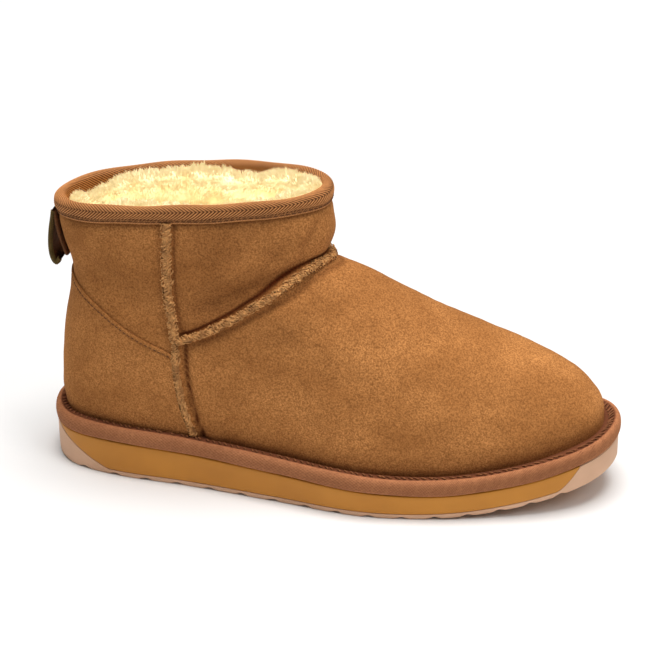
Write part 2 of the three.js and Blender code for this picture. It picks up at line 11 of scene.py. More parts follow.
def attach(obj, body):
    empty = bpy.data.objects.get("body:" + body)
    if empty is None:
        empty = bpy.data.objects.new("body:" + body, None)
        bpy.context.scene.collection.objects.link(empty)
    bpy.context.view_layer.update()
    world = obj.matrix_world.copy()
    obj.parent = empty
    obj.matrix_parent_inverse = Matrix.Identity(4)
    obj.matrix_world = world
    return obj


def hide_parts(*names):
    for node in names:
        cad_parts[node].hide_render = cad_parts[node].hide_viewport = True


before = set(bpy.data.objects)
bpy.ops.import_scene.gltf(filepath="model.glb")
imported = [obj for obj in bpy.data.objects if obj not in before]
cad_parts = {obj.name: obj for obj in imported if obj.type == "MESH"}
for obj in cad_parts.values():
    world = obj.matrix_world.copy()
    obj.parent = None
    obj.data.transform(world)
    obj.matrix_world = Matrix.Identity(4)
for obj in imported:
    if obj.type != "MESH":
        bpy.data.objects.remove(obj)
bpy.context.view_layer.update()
MM = 0.001
TURN = 2 * math.pi

# Sole
LENGTH = 268
BALL_WIDTH = 100
HEEL_THICKNESS = 18.2
BALL_THICKNESS = 11.8
TOE_SPRING = 15.5
SPRING_LENGTH = 94
HEEL_BEVEL = 1.5
HEEL_BEVEL_LENGTH = 22
SOLE_TAPER = 1
OUTSOLE_THICKNESS = 2.4
HEEL_CUP = 32
HEEL_CUP_SLOPE = 28
TOE_BUMPER = 25
TOE_BUMPER_SLOPE = 10
LUG_DEPTH = 1.5
LUG_PITCH = 15
GROOVE_COUNT = 16
GROOVE_WIDTH = 2.8
GROOVE_SWING = 2.6

# Upper
COLLAR_LENGTH = 126.8
COLLAR_WIDTH = 57.6
COLLAR_HEIGHT = 136.1
COLLAR_RISE = 12
COLLAR_SADDLE = 1.3
COLLAR_BACK = 5.2
INSTEP_HEIGHT = 108.9
INSTEP_AT = 0.49
WALL = 2
WELT_LEDGE = 5.8
WELT_HEIGHT = 8.1
WELT_OVERHANG = 0.95
TAPE_HEIGHT = 6.4
TAPE_LAP = 6
TAPE_THICKNESS = 1.5
TAPE_EDGE = 0.45
TAPE_EDGE_HEIGHT = 2.2
SEAM_WIDTH = 4.6
LOOP_WIDTH = 15
LOOP_DROP = 27
LOOP_REACH = 5
LOOP_THICKNESS = 1.6
PILE = 6.5
INSOLE_THICKNESS = 7
GAP = 0.3

# at: share of LENGTH from the heel; outer, inner, ridge: shares of BALL_WIDTH from the middle line
PLAN = np.array([
    (0, 0, 0, 0), (0.035, 0.235, 0.238, 0), (0.127, 0.337, 0.349, 0), (0.276, 0.388, 0.37, 0),
    (0.425, 0.456, 0.37, -0.01), (0.575, 0.525, 0.41, 0), (0.705, 0.496, 0.47, 0.02),
    (0.817, 0.425, 0.449, 0.035), (0.91, 0.331, 0.362, 0.035), (0.974, 0.202, 0.222, 0.025),
    (1, -0.01, 0.01, 0.01),
])
# at; rise: crest's height as a share of the height where the shaft begins; full: squareness of the section
CREST = np.array([
    (0, 1.9, 2.1), (0.2, 1.72, 2.1), (0.4, 1.26, 2.1), (INSTEP_AT, 1, 2.15), (0.58, 0.889, 2.2),
    (0.68, 0.752, 2.3), (0.78, 0.616, 2.4), (0.86, 0.489, 2.5), (0.92, 0.367, 2.5), (0.955, 0.25, 2.5),
    (0.972, 0.128, 2.5), (0.9785, 0, 2.5),
])
# level: share of the way from sole to rim; back, front: shares of COLLAR_LENGTH; width: of COLLAR_WIDTH
SHAFT = np.array([
    (0, 0, -0.05, 0.36), (0.12, 0, -0.045, 0.45), (0.3, -0.003, -0.04, 0.53),
    (0.45, -0.017, -0.038, 0.55), (0.6, -0.043, -0.035, 0.545), (0.7, -0.046, -0.03, 0.535),
    (0.76, -0.032, -0.002, 0.53), (0.84, -0.012, 0.016, 0.52), (0.92, -0.001, 0.011, 0.51), (1, 0, 0, 0.5),
])
SHAFT_FULL = 2.25
BLEND = 8
# at, level
SIDE_SEAM = np.array([
    (0.276, 0.05), (0.2555, 0.2), (0.2475, 0.34), (0.2465, 0.47), (0.236, 0.68), (0.234, 0.84), (0.235, 0.94),
])
INSTEP_SEAM = np.array([
    (0.5, 0.735), (0.475, 0.735), (0.44, 0.698), (0.392, 0.631), (0.343, 0.565), (0.291, 0.503),
    (0.25, 0.468),
])
COUNTER_EDGE = np.array([(0.03, 0.7), (0.054, 0.662), (0.104, 0.583), (0.17, 0.487), (0.24, 0.414)])


def through(x, y, warp=lambda value: value):
    """A smooth curve through two columns."""
    x = warp(np.asarray(x, float))
    y = np.asarray(y, float)
    slope = np.empty_like(y)
    slope[1:-1] = (y[2:] - y[:-2]) / (x[2:] - x[:-2])
    slope[0] = (y[1] - y[0]) / (x[1] - x[0])
    slope[-1] = (y[-1] - y[-2]) / (x[-1] - x[-2])

    def curve(value):
        v = np.clip(warp(np.asarray(value, float)), x[0], x[-1])
        i = np.clip(np.searchsorted(x, v, side="left"), 1, len(x) - 1)
        step = x[i] - x[i - 1]
        u = (v - x[i - 1]) / step
        w = 1 - u
        ends = y[i - 1] * w * w * (1 + 2 * u) + y[i] * u * u * (1 + 2 * w)
        return ends + step * u * w * (slope[i - 1] * w - slope[i] * u)

    return curve


def as_angle(share):
    return np.arccos(np.clip(1 - 2 * share, -1, 1))


def smoothstep(value, low, high):
    t = np.clip((value - low) / (high - low), 0, 1)
    return t * t * (3 - 2 * t)


def lerp(a, b, t):
    return a + (b - a) * t


def unit(vectors):
    return vectors / np.maximum(np.linalg.norm(vectors, axis=-1, keepdims=True), 1e-9)


outer_side = through(PLAN[:, 0], PLAN[:, 1], as_angle)
inner_side = through(PLAN[:, 0], PLAN[:, 2], as_angle)
ridge_share = through(PLAN[:, 0], PLAN[:, 3])
crest_rise = through(CREST[:, 0], CREST[:, 1])
crest_full = through(CREST[:, 0], CREST[:, 2])
shaft_back = through(SHAFT[:, 0], SHAFT[:, 1])
shaft_front = through(SHAFT[:, 0], SHAFT[:, 2])
shaft_width = through(SHAFT[:, 0], SHAFT[:, 3])
side_seam_at = through(SIDE_SEAM[:, 1], SIDE_SEAM[:, 0])
counter_level = through(COUNTER_EDGE[:, 0], COUNTER_EDGE[:, 1])

HEEL_X = -LENGTH / 2
TOE_X = LENGTH / 2
COLLAR_X = HEEL_X + COLLAR_BACK + COLLAR_LENGTH / 2


def x_at(share):
    return HEEL_X + LENGTH * share


def share_at(x):
    return (x - HEEL_X) / LENGTH


FOOT_END = x_at(CREST[-1, 0])


def toe_rise(x):
    return TOE_SPRING * (np.maximum(0, x - TOE_X + SPRING_LENGTH) / SPRING_LENGTH) ** 2


def ground(x):
    heel = HEEL_BEVEL * (np.maximum(0, HEEL_X + HEEL_BEVEL_LENGTH - x) / HEEL_BEVEL_LENGTH) ** 2
    return toe_rise(x) + heel


def sole_top(x):
    return lerp(HEEL_THICKNESS, BALL_THICKNESS, smoothstep(share_at(x), 0.1, 0.75)) + toe_rise(x)


def rim(x):
    along = (x - COLLAR_X) / (COLLAR_LENGTH / 2)
    near = np.clip(along, -1, 1)
    return COLLAR_HEIGHT + (COLLAR_RISE / 2) * along - COLLAR_SADDLE * near * near


def shaft_height(x):
    return rim(x) - sole_top(x) - GAP


def height_at(x, level):
    return sole_top(x) + GAP + level * shaft_height(x)


def level_for(x, height):
    return height / shaft_height(x)


crest_scale = INSTEP_HEIGHT - float(sole_top(x_at(INSTEP_AT)))


def crest(x):
    return sole_top(x) + crest_scale * crest_rise(share_at(x))


def exact_ends(level):
    back = COLLAR_X - COLLAR_LENGTH * (0.5 + shaft_back(level))
    shaft = COLLAR_X + COLLAR_LENGTH * (0.5 + shaft_front(level))
    low = np.full_like(level, COLLAR_X)
    high = np.full_like(level, FOOT_END)
    for _ in range(40):
        x = (low + high) / 2
        above = crest(x) > height_at(x, level)
        low = np.where(above, x, low)
        high = np.where(above, high, x)
    return back, shaft, np.maximum(shaft, low)


LEVEL_TABLE = np.linspace(0, 1, 4001)
END_TABLE = exact_ends(LEVEL_TABLE)


def ring_ends(level):
    return [np.interp(level, LEVEL_TABLE, column) for column in END_TABLE]


def ridge(x):
    return BALL_WIDTH * ridge_share(share_at(x))


def form(turn, level):
    """A point on the plain form. turn: angle round the ring, from the front by way of the outer side."""
    back, shaft_end, front = ring_ends(level)
    x = (front + back) / 2 + (front - back) / 2 * np.cos(turn)
    outer = np.sin(turn) >= 0
    span = np.clip((x - back) / (FOOT_END - back), 0, 1)
    base = np.where(outer, BALL_WIDTH * outer_side(span) + ridge(x), BALL_WIDTH * inner_side(span) - ridge(x))
    base = np.maximum(base, 0)
    inset = base - WELT_LEDGE * np.minimum(1, base / (0.3 * BALL_WIDTH))
    height = crest(x) - sole_top(x)
    z = height_at(x, level)
    rise = np.where(height > 0, np.clip((z - sole_top(x)) / np.maximum(height, 1e-6), 0, 1), 1)
    foot = inset * np.sqrt(np.maximum(1 - rise ** crest_full(share_at(x)), 0))
    middle = (back + shaft_end) / 2
    along = np.minimum(1, np.abs(x - middle) / (shaft_end - middle))
    shaft = COLLAR_WIDTH * shaft_width(level) * (1 - along ** SHAFT_FULL) ** (1 / SHAFT_FULL)
    side = (foot ** BLEND + shaft ** BLEND) ** (1 / BLEND)
    return np.stack([x, ridge(x) + np.where(outer, -side, side), z], -1)


def normal_at(turn, level):
    low = np.maximum(level - 0.006, 0)
    high = np.minimum(level + 0.006, 1)
    along = form(turn + 0.025, level) - form(turn - 0.025, level)
    return unit(np.cross(form(turn, high) - form(turn, low), along))


def turn_at(share, level):
    back, _, front = ring_ends(level)
    return np.arccos(np.clip((2 * x_at(share) - front - back) / (front - back), -1, 1))


instep_turns = turn_at(*INSTEP_SEAM.T)
instep_level = through(instep_turns, INSTEP_SEAM[:, 1])
# Where the instep seam meets a side seam
INSTEP_END = instep_turns[-1]
MEETING_LEVEL = float(instep_level(INSTEP_END))


def round_turn(turn):
    return np.arccos(np.cos(turn))


def near_seams(turn, point, level):
    """x, z, distances above the instep seam, behind a side seam, above the welt; 1 below their meeting."""
    x, z = point[..., 0], point[..., 2]
    above = (level - instep_level(round_turn(turn))) * shaft_height(x)
    behind = x_at(side_seam_at(level)) - x
    lower = 1 - smoothstep(level, MEETING_LEVEL - 0.03, MEETING_LEVEL + 0.03)
    return x, z, above, behind, z - height_at(x, 0) - WELT_HEIGHT, lower


def bell(value, width):
    return np.exp(-((value / width) ** 2))


def lumps(points, seed):
    """A smooth pseudo-random field of about -1 to 1 over points in millimetres."""
    r = np.random.default_rng(seed)
    total = np.zeros(points.shape[:-1])
    for size, weight in ((22, 0.5), (11, 0.5), (6, 0.35)):
        for _ in range(5):
            direction = r.normal(size=3)
            direction /= np.linalg.norm(direction)
            total += weight * np.sin(TURN * (points @ direction) / size + r.uniform(0, TURN)) / 2.2
    return total


# Soft troughs (negative) and ridges of the suede. at: share of LENGTH from the heel; level; long, wide: half
# sizes in millimetres; slope: degrees by which the long side rises towards the toe; depth in millimetres;
# side: 1 outer, -1 inner.
FOLDS = [
    (0.42, 0.80, 16, 5, 38, -1.0, 1),
    (0.36, 0.74, 22, 5, 22, 0.7, 1),
    (0.455, 0.86, 9, 5, 60, 0.8, 1),
    (0.468, 0.84, 8, 2.4, 66, -0.6, 1),
    (0.44, 0.75, 9, 2.6, 34, -0.5, 1),
    (0.39, 0.70, 12, 3, 24, -0.45, 1),
    (0.30, 0.60, 10, 3, 12, -0.4, 1),
    (0.33, 0.66, 18, 4, 24, -0.6, 1),
    (0.17, 0.62, 20, 9, -28, -0.7, 1),
    (0.09, 0.74, 16, 8, -40, -0.6, 1),
    (0.13, 0.2, 26, 8, 0, 0.6, 1),
    (0.36, 0.4, 24, 9, 34, -0.5, 1),
    (0.48, 0.52, 26, 10, -28, 0.6, 1),
    (0.58, 0.36, 30, 12, -22, -0.5, 1),
    (0.75, 0.2, 30, 10, -20, 0.5, 1),
    (0.42, 0.8, 15, 5, 36, -0.9, -1),
    (0.35, 0.72, 22, 6, 20, 0.7, -1),
    (0.16, 0.6, 22, 9, -26, -0.7, -1),
    (0.5, 0.45, 26, 11, -26, -0.6, -1),
    (0.7, 0.24, 28, 11, -20, 0.5, -1),
]


def folds(turn, x, z):
    """Height of the soft troughs and ridges alone."""
    out = np.zeros(np.broadcast_shapes(np.shape(turn), np.shape(x)))
    side = np.where(np.sin(turn) >= 0, 1, -1)
    for at, mid, long, wide, slope, depth, where in FOLDS:
        dx = x - x_at(at)
        dz = z - height_at(x_at(at), mid)
        c = math.cos(math.radians(slope))
        s = math.sin(math.radians(slope))
        reach = bell(dx * c + dz * s, long) * bell(dz * c - dx * s, wide)
        out += 2 * depth * reach * (side == where)
    return out


def relief(turn, point, level):
    """How far the suede stands off the plain form."""
    x, z, above, behind, foot, lower = near_seams(turn, point, level)
    near_instep = 1 - smoothstep(round_turn(turn), INSTEP_END * 0.93, INSTEP_END)
    side_share = round_turn(turn) / INSTEP_END
    shallow = (0.35 + 0.65 * smoothstep(side_share, 0.05, 0.3)) * (1 - 0.5 * smoothstep(side_share, 0.5, 1))
    out = -1.5 * shallow * near_instep * bell(above - 2.6, 2.2)
    out -= 0.8 * near_instep * bell(above + 2.6, 2.2)
    out += 0.7 * near_instep * bell(above + 8, 5)
    out += 0.5 * near_instep * bell(above - 12, 6)
    out -= (0.7 + 0.9 * lower) * bell(behind + 3.6 + 1.2 * lower, 1.7)
    out -= 0.6 * (1 - lower) * bell(behind - 3.4, 1.6)
    out += 0.5 * bell(behind + 9.5, 3.5)
    out -= 0.4 * bell(foot + 1, 3.2)
    out += 0.5 * bell(foot - 8, 5)
    out -= 0.7 * bell(rim(x) - z - TAPE_HEIGHT - 0.5, 2.2)
    out += 0.12 * lumps(point, 41) * smoothstep(foot, 0, 12)
    return out + folds(turn, x, z)


def surface(turn, level, out=0.0, plain=False):
    point = form(turn, level)
    lift = 0 if plain else relief(turn, point, level)
    return point + normal_at(turn, level) * np.asarray(out + lift)[..., None]


def layer_at(turn, out, height_of, plain=False):
    """The point of that layer whose height is height_of(x)."""
    level = np.full(np.shape(turn), 0.5)
    for _ in range(10):
        point = surface(turn, level, out, plain)
        miss = height_of(point[..., 0]) - point[..., 2]
        level = np.clip(level + miss / shaft_height(point[..., 0]), 0, 1)
    point[..., 2] = height_of(point[..., 0])
    return point


def rim_points(turn, out, down):
    return layer_at(turn, out, lambda x: rim(x) - down, plain=True)


# Meshes
def full_turn(count):
    """Evenly spaced angles once round."""
    return np.arange(count) * TURN / count


def grid_faces(points, wrap_rows=False, wrap_columns=False):
    rows, columns = points.shape[:2]
    r = np.arange(rows if wrap_rows else rows - 1)[:, None]
    c = np.arange(columns if wrap_columns else columns - 1)
    next_row = (r + 1) % rows * columns
    next_column = (c + 1) % columns
    quads = [r * columns + c, r * columns + next_column, next_row + next_column, next_row + c]
    return np.stack(quads, -1).reshape(-1, 4)


def grid_normals(points, row, sign=1):
    """Normals of a grid closed across its columns. In that row they look outwards, or inwards for sign -1."""
    around = np.roll(points, -1, axis=1) - np.roll(points, 1, axis=1)
    normal = unit(np.cross(np.gradient(points, axis=0), around))
    away = np.einsum("ij,ij->i", normal[row], points[row] - points.mean(axis=(0, 1))).mean()
    return normal * (sign if away > 0 else -sign)


def placed(name, data):
    """A new object in the scene."""
    thing = bpy.data.objects.new(name, data)
    bpy.context.scene.collection.objects.link(thing)
    return thing


def make(name, points, faces, material, slot, replaces=(), nap=None, **attributes):
    """A mesh piece from points in millimetres."""
    mesh = bpy.data.meshes.new(name)
    vertices = points.reshape(-1, 3) * MM
    mesh.vertices.add(len(vertices))
    mesh.vertices.foreach_set("co", vertices.ravel())
    mesh.loops.add(faces.size)
    mesh.loops.foreach_set("vertex_index", faces.ravel().astype(np.int32))
    mesh.polygons.add(len(faces))
    mesh.polygons.foreach_set("loop_start", (np.arange(len(faces)) * 4).astype(np.int32))
    mesh.polygons.foreach_set("use_smooth", np.full(len(faces), True))
    mesh.update(calc_edges=True)
    mesh.validate()
    for key, values in attributes.items():
        data = mesh.attributes.new(key, "FLOAT", "POINT")
        data.data.foreach_set("value", np.asarray(values, np.float32).ravel())
    if nap is not None:
        data = mesh.attributes.new("nap", "FLOAT_VECTOR", "POINT")
        data.data.foreach_set("vector", np.asarray(nap, np.float32).ravel())
    piece = placed(name, mesh)
    mesh.materials.append(material)
    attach(piece, "root")
    if replaces:
        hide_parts(*replaces)
    return piece


def outward(points, faces):
    """Turns four-sided faces so that they enclose a positive volume."""
    a, b, c, d = (points.reshape(-1, 3)[faces[:, k]] for k in range(4))
    volume = np.einsum("ij,ij->i", a, np.cross(b, c) + np.cross(c, d)).sum()
    return faces if volume > 0 else faces[:, ::-1]


def arc_length(points):
    return np.concatenate([[0], np.cumsum(np.linalg.norm(np.diff(points, axis=0), axis=-1))])


def spots(line, length, place):
    """The points of a line at those distances along it."""
    return np.stack([np.interp(place, length, column) for column in line.T], -1)


def section_steps(section, count):
    """Even steps along a section, and its two columns there, rounded off a little."""
    length = arc_length(section)
    fine = np.linspace(0, length[-1], count)
    kernel = np.array([1, 2, 3, 2, 1]) / 9
    columns = np.pad(spots(section, length, fine), ((2, 2), (0, 0)), mode="edge").T
    return length, fine, [np.convolve(column, kernel, "valid") for column in columns]


def whole_pitch(total, pitch):
    """The pitch close to that one that fits a whole number of times."""
    return total / round(total / pitch)


def tubes(lines, radius, sides):
    """Round threads along many lines of equal length, as one mesh. lines: (count, steps, 3)."""
    count, steps, _ = lines.shape
    along = unit(np.gradient(lines, axis=1))
    helper = np.where(np.abs(along[..., 2:3]) > 0.9, (1.0, 0, 0), (0, 0, 1.0))
    across = unit(np.cross(along, helper))
    other = np.cross(along, across)
    angle = full_turn(sides)[:, None]
    ring = across[:, :, None] * np.cos(angle) + other[:, :, None] * np.sin(angle)
    points = lines[:, :, None] + ring * np.broadcast_to(radius, (count, steps))[..., None, None]
    start = np.arange(count)[:, None, None] * steps * sides
    faces = (start + grid_faces(points[0], wrap_columns=True)).reshape(-1, 4)
    return points.reshape(-1, 3), outward(points, faces)


def joined(parts):
    points, faces, start = [], [], 0
    for p, f in parts:
        points.append(p.reshape(-1, 3))
        faces.append(f + start)
        start += len(points[-1])
    return np.concatenate(points), np.concatenate(faces)


# Materials
def colour(red, green, blue):
    """Linear values of a colour given as it looks on a screen, 0 to 255."""
    parts = [v / 255 for v in (red, green, blue)]
    return tuple(v / 12.92 if v <= 0.04045 else ((v + 0.055) / 1.055) ** 2.4 for v in parts) + (1.0,)


class Nodes:
    """Short ways to build one material's node tree."""

    def __init__(self, name, roughness, specular):
        self.material = bpy.data.materials.new(name)
        self.material.use_nodes = True
        self.tree = self.material.node_tree
        self.shader = self.tree.nodes["Principled BSDF"]
        self.shader.inputs["Roughness"].default_value = roughness
        self.shader.inputs["Specular IOR Level"].default_value = specular
        self.place = self.add("TexCoord", {}, "Object")

    def feed(self, socket, value):
        if isinstance(value, bpy.types.NodeSocket):
            self.tree.links.new(value, socket)
        else:
            socket.default_value = value

    def add(self, kind, inputs, output, **settings):
        """Adds a node, sets it up and gives back the named output."""
        node = self.tree.nodes.new("ShaderNode" + kind)
        for key, value in settings.items():
            setattr(node, key, value)
        for key, value in inputs.items():
            self.feed(node.inputs[key], value)
        return node.outputs[output]

    def noise(self, scale, detail, roughness, place=None, distortion=0.0):
        inputs = {"Vector": place or self.place, "Scale": scale, "Detail": detail, "Roughness": roughness}
        return self.add("TexNoise", {**inputs, "Distortion": distortion}, "Fac")

    def stretched(self, scale):
        return self.add("Mapping", {"Vector": self.place, "Scale": scale}, "Vector")

    def math(self, operation, a, b):
        return self.add("Math", {0: a, 1: b}, 0, operation=operation)

    def ramp(self, value, low, high, to_low=0.0, to_high=1.0):
        inputs = {"Value": value, "From Min": low, "From Max": high, "To Min": to_low, "To Max": to_high}
        return self.add("MapRange", inputs, "Result", clamp=True)

    def mix(self, share, a, b, blend="MIX"):
        return self.add("Mix", {0: share, 6: a, 7: b}, 2, data_type="RGBA", blend_type=blend)

    def attribute(self, name, output="Fac"):
        return self.add("Attribute", {}, output, attribute_name=name)

    def bump(self, height, depth, strength, normal=None):
        """height from 0 to 1 stands for depth millimetres."""
        inputs = {"Strength": strength, "Distance": depth * MM, "Height": height}
        if normal is not None:
            inputs["Normal"] = normal
        return self.add("Bump", inputs, "Normal")

    def done(self, base, normal=None, **sockets):
        if normal is not None:
            sockets["normal"] = normal
        for key, value in {"base_color": base, **sockets}.items():
            self.feed(self.shader.inputs[key.replace("_", " ").title()], value)
        return self.material


def suede(name, light, dark, shade):
    n = Nodes(name, roughness=0.95, specular=0.08)
    nap = n.noise(2400, 2, 0.6)
    speck = n.noise(1250, 2, 0.7)
    brush = n.noise(800, 3, 0.65, distortion=1.0)
    patch = n.noise(110, 4, 0.6, distortion=0.6)
    cloud = n.noise(34, 4, 0.55, place=n.stretched((0.7, 1, 1.3)), distortion=0.4)
    base = n.mix(n.ramp(cloud, 0.32, 0.68, 0.25, 0.9), dark, light)
    base = n.mix(n.ramp(patch, 0.45, 0.7, 0.0, 0.35), base, dark)
    base = n.mix(n.ramp(brush, 0.4, 0.64, 0.0, 0.48), base, dark)
    # Darker grain flecks, then the painted shade from the 'shade' attribute multiplied in
    base = n.mix(n.ramp(speck, 0.36, 0.6, 0.64, 0.0), base, shade)
    base = n.mix(n.attribute("shade"), base, shade, "MULTIPLY")
    height = n.math("ADD", n.math("MULTIPLY", nap, 0.6), speck)
    normal = n.bump(height, 0.2, 0.8, n.bump(brush, 0.25, 0.6, n.bump(patch, 0.8, 0.6)))
    return n.done(base, normal, sheen_weight=0.25, sheen_roughness=0.5, sheen_tint=light)


def twill(name, light, dark, rib):
    n = Nodes(name, roughness=0.85, specular=0.2)
    fuzz = n.noise(900, 2, 0.6)
    broad = n.noise(60, 3, 0.5)
    base = n.mix(n.ramp(n.attribute(rib), 0.2, 0.95), dark, light)
    base = n.mix(n.ramp(fuzz, 0.35, 0.7, 0.0, 0.3), base, dark)
    base = n.mix(n.ramp(broad, 0.4, 0.7, 0.0, 0.2), base, dark)
    normal = n.bump(fuzz, 0.12, 0.6)
    return n.done(base, normal, sheen_weight=0.15, sheen_roughness=0.5, sheen_tint=light)


def thread(name, light, dark):
    n = Nodes(name, roughness=0.8, specular=0.25)
    fuzz = n.noise(1300, 3, 0.6)
    broad = n.noise(260, 3, 0.6)
    base = n.mix(n.ramp(broad, 0.22, 0.6), dark, light)
    base = n.mix(n.ramp(fuzz, 0.35, 0.7, 0.0, 0.5), base, dark)
    return n.done(base, n.bump(fuzz, 0.15, 0.8), sheen_weight=0.2, sheen_roughness=0.5, sheen_tint=light)


def pile(name, light, deep, white):
    n = Nodes(name, roughness=1.0, specular=0.05)
    clump = n.noise(95, 3, 0.6)
    fine = n.noise(900, 3, 0.6)
    base = n.mix(n.ramp(clump, 0.38, 0.62), deep, light)
    # tip: lighter tips of the wool; in the fleece also painted light on the bulges and top rows and painted
    # shade in the hollows
    base = n.mix(n.attribute("tip"), base, white)
    base = n.mix(n.ramp(fine, 0.4, 0.7, 0.0, 0.15), base, deep)
    normal = n.bump(n.math("ADD", clump, fine), 0.8, 0.3, n.attribute("nap", "Vector"))
    # Stands for light scattered inside deep pile
    glow = {"emission_color": colour(255, 219, 143), "emission_strength": 0.68}
    return n.done(base, normal, sheen_weight=0.4, sheen_roughness=0.6, sheen_tint=white, **glow)


def moulded(name, light, dark, grain, roughness):
    n = Nodes(name, roughness=roughness, specular=0.35)
    broad = n.noise(28, 3, 0.5)
    fine = n.noise(1100, 2, 0.5)
    scuff = n.noise(110, 5, 0.7, place=n.stretched((0.35, 1, 2.2)))
    base = n.mix(n.ramp(broad, 0.35, 0.7), dark, light)
    base = n.mix(n.ramp(scuff, 0.6, 0.85, 0.0, 0.2), base, light)
    normal = n.bump(fine, grain, 0.5, n.bump(broad, 0.4, 0.25))
    return n.done(base, normal)


TAN = colour(219, 151, 88)
TAN_DARK = colour(160, 103, 54)
# Colour of the darker grain flecks and of the painted shade
TAN_SPECK_AND_SHADE = colour(106, 62, 28)
suede_material = suede("suede_tan", TAN, TAN_DARK, TAN_SPECK_AND_SHADE)
counter_material = suede("suede_counter", TAN, TAN_DARK, TAN_SPECK_AND_SHADE)
tape_material = twill("twill_collar", colour(220, 150, 90), colour(66, 32, 16), "rib")
welt_material = twill("twill_welt", colour(208, 140, 94), colour(108, 60, 36), "rib")
seam_material = thread("thread_gold", colour(232, 172, 106), colour(122, 76, 40))
dark_thread = thread("thread_brown", colour(112, 70, 40), colour(66, 38, 22))
welt_thread = thread("thread_welt", colour(154, 98, 60), colour(96, 56, 34))
fleece_material = pile("fleece_cream", colour(206, 184, 126), colour(190, 146, 84), colour(238, 232, 202))
midsole_material = moulded("foam_mustard", colour(208, 138, 44), colour(192, 124, 36), 0.05, 0.5)
outsole_material = moulded("rubber_taupe", colour(230, 186, 153), colour(208, 164, 131), 0.06, 0.65)
loop_material = suede("loop_dark", colour(140, 94, 62), colour(108, 70, 44), colour(60, 38, 24))
loop_edge_material = thread("loop_edge", colour(120, 98, 50), colour(76, 60, 30))


# Upper: outer face, turned in over the rim and under the foot
def painted_shade(turn, point, level):
    """0 to 1: painted shade on the suede: in the seams' valleys, at the foot above the welt, under the collar
    tape and in the fold troughs; also a little darker above half height and in a broad patch on the shaft
    front.
    """
    x, z, above, behind, foot, lower = near_seams(turn, point, level)
    near_instep = 1 - smoothstep(round_turn(turn), INSTEP_END * 0.96, INSTEP_END * 1.02)
    middle = smoothstep(share_at(x), 0.22, 0.36) * (1 - 0.5 * smoothstep(share_at(x), 0.7, 0.9))
    shaft = smoothstep(above, 0, 3) * near_instep
    dark = np.maximum.reduce([
        near_instep * bell(above - 2.3, 0.9),
        0.5 * near_instep * bell(above + 3, 1.2),
        (0.6 + 0.35 * lower) * bell(behind + 3.4 + 1.4 * lower, 1.1),
        (0.25 + 0.45 * middle) * smoothstep(-foot, -0.9, 0.9),
        (0.15 + 0.3 * middle) * bell(foot, 2.6),
        0.2 * bell(foot, 10),
        0.1 * smoothstep(level, 0.46, 0.5),
        0.28 * shaft * bell(x - x_at(0.32), 26),
        0.6 * bell(rim(x) - z - TAPE_HEIGHT - 0.6, 1.0),
    ])
    return np.clip(dark + 0.16 * np.clip(-folds(turn, x, z), 0, 1.5) * shaft, 0, 1)


def build_upper():
    levels = np.concatenate([np.linspace(0, 0.3, 60), np.linspace(0.3, 1, 150)[1:]])
    turn, level = np.meshgrid(full_turn(380), levels)
    skin = surface(turn, level)
    skin[0, :, 2] = height_at(skin[0, :, 0], 0)
    skin[-1, :, 2] = rim(skin[-1, :, 0])
    # Painted shade in the seams' valleys, fold troughs, under the tape and at the foot
    dark = painted_shade(turn, form(turn, level), level)
    low, lip, deep = (surface(turn[:1], inside, -WALL) for inside in (0.004, 0.995, 0.9))
    points = np.concatenate([low, skin, lip, deep])
    shade = np.concatenate([dark[:1], dark, dark[-1:], dark[-1:]])
    faces = outward(points, grid_faces(points, wrap_columns=True))
    make("upper_suede", points, faces, suede_material, "suede", ["upper"], shade=shade)


def build_counter():
    rows, columns = 60, 200
    s = np.linspace(-1, 1, columns)
    low = level_for(HEEL_X, WELT_HEIGHT - 1.5)
    clear = 1.3 / LENGTH
    stitch_down = 2.2
    stitch_pitch = 2.3

    def turn_of(level):
        return math.pi + s * (math.pi - turn_at(side_seam_at(level) - clear, level))

    top = np.full(columns, 0.5)
    for _ in range(30):
        back, _, front = ring_ends(top)
        x = (front + back) / 2 + (front - back) / 2 * np.cos(turn_of(top))
        top = counter_level(share_at(x))
    level = lerp(low, top, np.linspace(0, 1, rows)[:, None])
    turn = turn_of(level)
    plain = form(turn, level)
    down = (top - level) * shaft_height(plain[..., 0])
    out = 1.15 - 0.35 * bell(down - stitch_down, 0.6) - 0.25 * bell(down, 0.8)
    tuck = surface(turn[-1:], level[-1:] + 0.001, 0.15)
    points = np.concatenate([surface(turn, level, out), tuck])
    # Painted shade along the sunk stitch row, and a painted shadow line on the tucked top edge
    dark = np.maximum(painted_shade(turn, plain, level), 0.3 * bell(down - stitch_down, 0.4))
    dark = np.concatenate([dark, np.full((1, columns), 0.6)])
    make("counter_suede", points, grid_faces(points), counter_material, "suede", ["heel_counter"], shade=dark)
    # Stitches along the top edge, their ends sunk in
    line = surface(turn_of(top), top - level_for(HEEL_X, stitch_down), 1.0)
    length = arc_length(line)
    count = int(length[-1] / stitch_pitch)
    path = spots(line, length, (np.arange(count)[:, None] + np.linspace(0.12, 0.88, 5)) * stitch_pitch)
    away = unit((path - (COLLAR_X, 0, 0)) * (1, 1, 0))
    path = path - away * (0.35 * np.abs(np.linspace(-1, 1, 5)) ** 3)[:, None]
    make("counter_stitches", *tubes(path, 0.22, 5), dark_thread, "seam_thread")


build_upper()
build_counter()


# Raised seams: a soft ridge covered in short stitches at all slants
SEAM_STEP = 0.25
SEAM_STITCH_PITCH = 0.24


def along_seam(turn, level):
    """Distances, centre line, normal, across direction and direction of a seam at even steps."""
    length = arc_length(surface(turn, level, plain=True))
    even = np.arange(0, length[-1], SEAM_STEP)
    turn = np.interp(even, length, turn)
    level = np.interp(even, length, level)
    line = surface(turn, level, plain=True)
    normal = normal_at(turn, level)
    tangent = unit(np.gradient(line, axis=0))
    return even, line, normal, unit(np.cross(normal, tangent)), tangent


